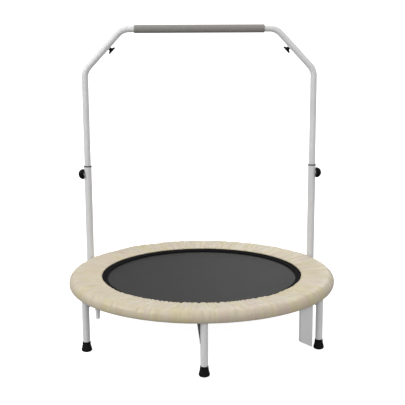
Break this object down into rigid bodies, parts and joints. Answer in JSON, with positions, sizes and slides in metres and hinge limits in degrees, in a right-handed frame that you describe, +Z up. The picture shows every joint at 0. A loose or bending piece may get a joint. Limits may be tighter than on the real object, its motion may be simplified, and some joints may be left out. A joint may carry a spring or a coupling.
{
  "type": "mini trampoline with handrail",
  "caption": "Round fitness trampoline on short legs with a padded gathered skirt and a height-adjustable handrail with a foam grip.",
  "frame": {"origin": "on the floor, under the centre of the mat", "axes": "+Z up; +Y towards the handrail, so the user faces -Y; +X to the right seen from the front with the handrail behind"},
  "size_m": [1.0159, 1.016, 1.164],
  "materials": {
    "white_tube": "semi-gloss white powder coat",
    "zinc_steel": "bright zinc plate",
    "black_plastic": "satin moulded plastic",
    "foot_rubber": "matt moulded rubber",
    "mat_fabric": "woven polypropylene",
    "webbing": "woven webbing",
    "elastic": "woven elastic",
    "skirt_fabric": "coated satin cloth, gathered",
    "skirt_backing": "plain woven backing",
    "pad_foam": "closed-cell foam",
    "grip_foam": "closed-cell foam, fine pores"
  },
  "bodies": {
    "frame": {"frame_arc_1": "white_tube", "frame_arc_2": "white_tube", "frame_arc_3": "white_tube", "ring_sleeves": "zinc_steel", "leg_spigots": "white_tube", "leg_front": "white_tube", "leg_front_right": "white_tube", "leg_rear_right": "white_tube", "leg_rear": "white_tube", "leg_rear_left": "white_tube", "leg_front_left": "white_tube", "foot_front": "foot_rubber", "foot_front_right": "foot_rubber", "foot_rear_right": "foot_rubber", "foot_rear": "foot_rubber", "foot_rear_left": "foot_rubber", "foot_front_left": "foot_rubber", "leg_screws": "zinc_steel", "brace_plate": "white_tube", "frame_peg": "white_tube", "springs": "zinc_steel", "pad_top_cover": "skirt_fabric", "pad_side_band": "skirt_fabric", "pad_foam": "pad_foam", "pad_bottom_cover": "skirt_backing", "pad_ties": "elastic", "lower_post_left": "white_tube", "lower_post_right": "white_tube", "post_spacers": "black_plastic", "post_bolts": "zinc_steel", "post_nuts": "zinc_steel", "post_end_caps": "black_plastic", "post_bush_left": "black_plastic", "post_bush_right": "black_plastic", "knob_boss_left": "white_tube", "knob_boss_right": "white_tube"},
    "handlebar": {"upper_post_left": "white_tube", "upper_post_right": "white_tube", "post_guide_left": "black_plastic", "post_guide_right": "black_plastic", "top_bar": "white_tube", "foam_grip": "grip_foam", "wing_nut_seats": "white_tube"},
    "knob_left": {"knob_left": "black_plastic", "knob_screw_left": "zinc_steel"},
    "knob_right": {"knob_right": "black_plastic", "knob_screw_right": "zinc_steel"},
    "wing_left": {"wing_head_left": "black_plastic", "wing_screw_left": "zinc_steel"},
    "wing_right": {"wing_head_right": "black_plastic", "wing_screw_right": "zinc_steel"},
    "mat": {"mat": "mat_fabric", "mat_edge_band": "webbing", "v_rings": "zinc_steel"}
  },
  "joints": [
    {"name": "handlebar_height", "type": "slide", "parent": "frame", "child": "handlebar", "axis": [0, 0, 1], "range_m": [-0.2, 0.08]},
    {"name": "knob_left_turn", "type": "hinge", "parent": "frame", "child": "knob_left", "pos_m": [-0.47899, 0.265, 0.568], "axis": [-1, 0, 0], "range_deg": [-720, 0]},
    {"name": "knob_right_turn", "type": "hinge", "parent": "frame", "child": "knob_right", "pos_m": [0.47899, 0.265, 0.568], "axis": [1, 0, 0], "range_deg": [-720, 0]},
    {"name": "wing_left_turn", "type": "hinge", "parent": "handlebar", "child": "wing_left", "pos_m": [-0.35433, 0.265, 1.06981], "axis": [0.7312, 0, -0.6821], "range_deg": [-720, 0]},
    {"name": "wing_right_turn", "type": "hinge", "parent": "handlebar", "child": "wing_right", "pos_m": [0.35433, 0.265, 1.06981], "axis": [-0.7312, 0, -0.6821], "range_deg": [-720, 0]},
    {"name": "mat_bounce", "type": "slide", "parent": "frame", "child": "mat", "axis": [0, 0, 1], "range_m": [-0.07, 0], "stiffness_N_per_m": 8000, "deforming": ["springs"]}
  ]
}
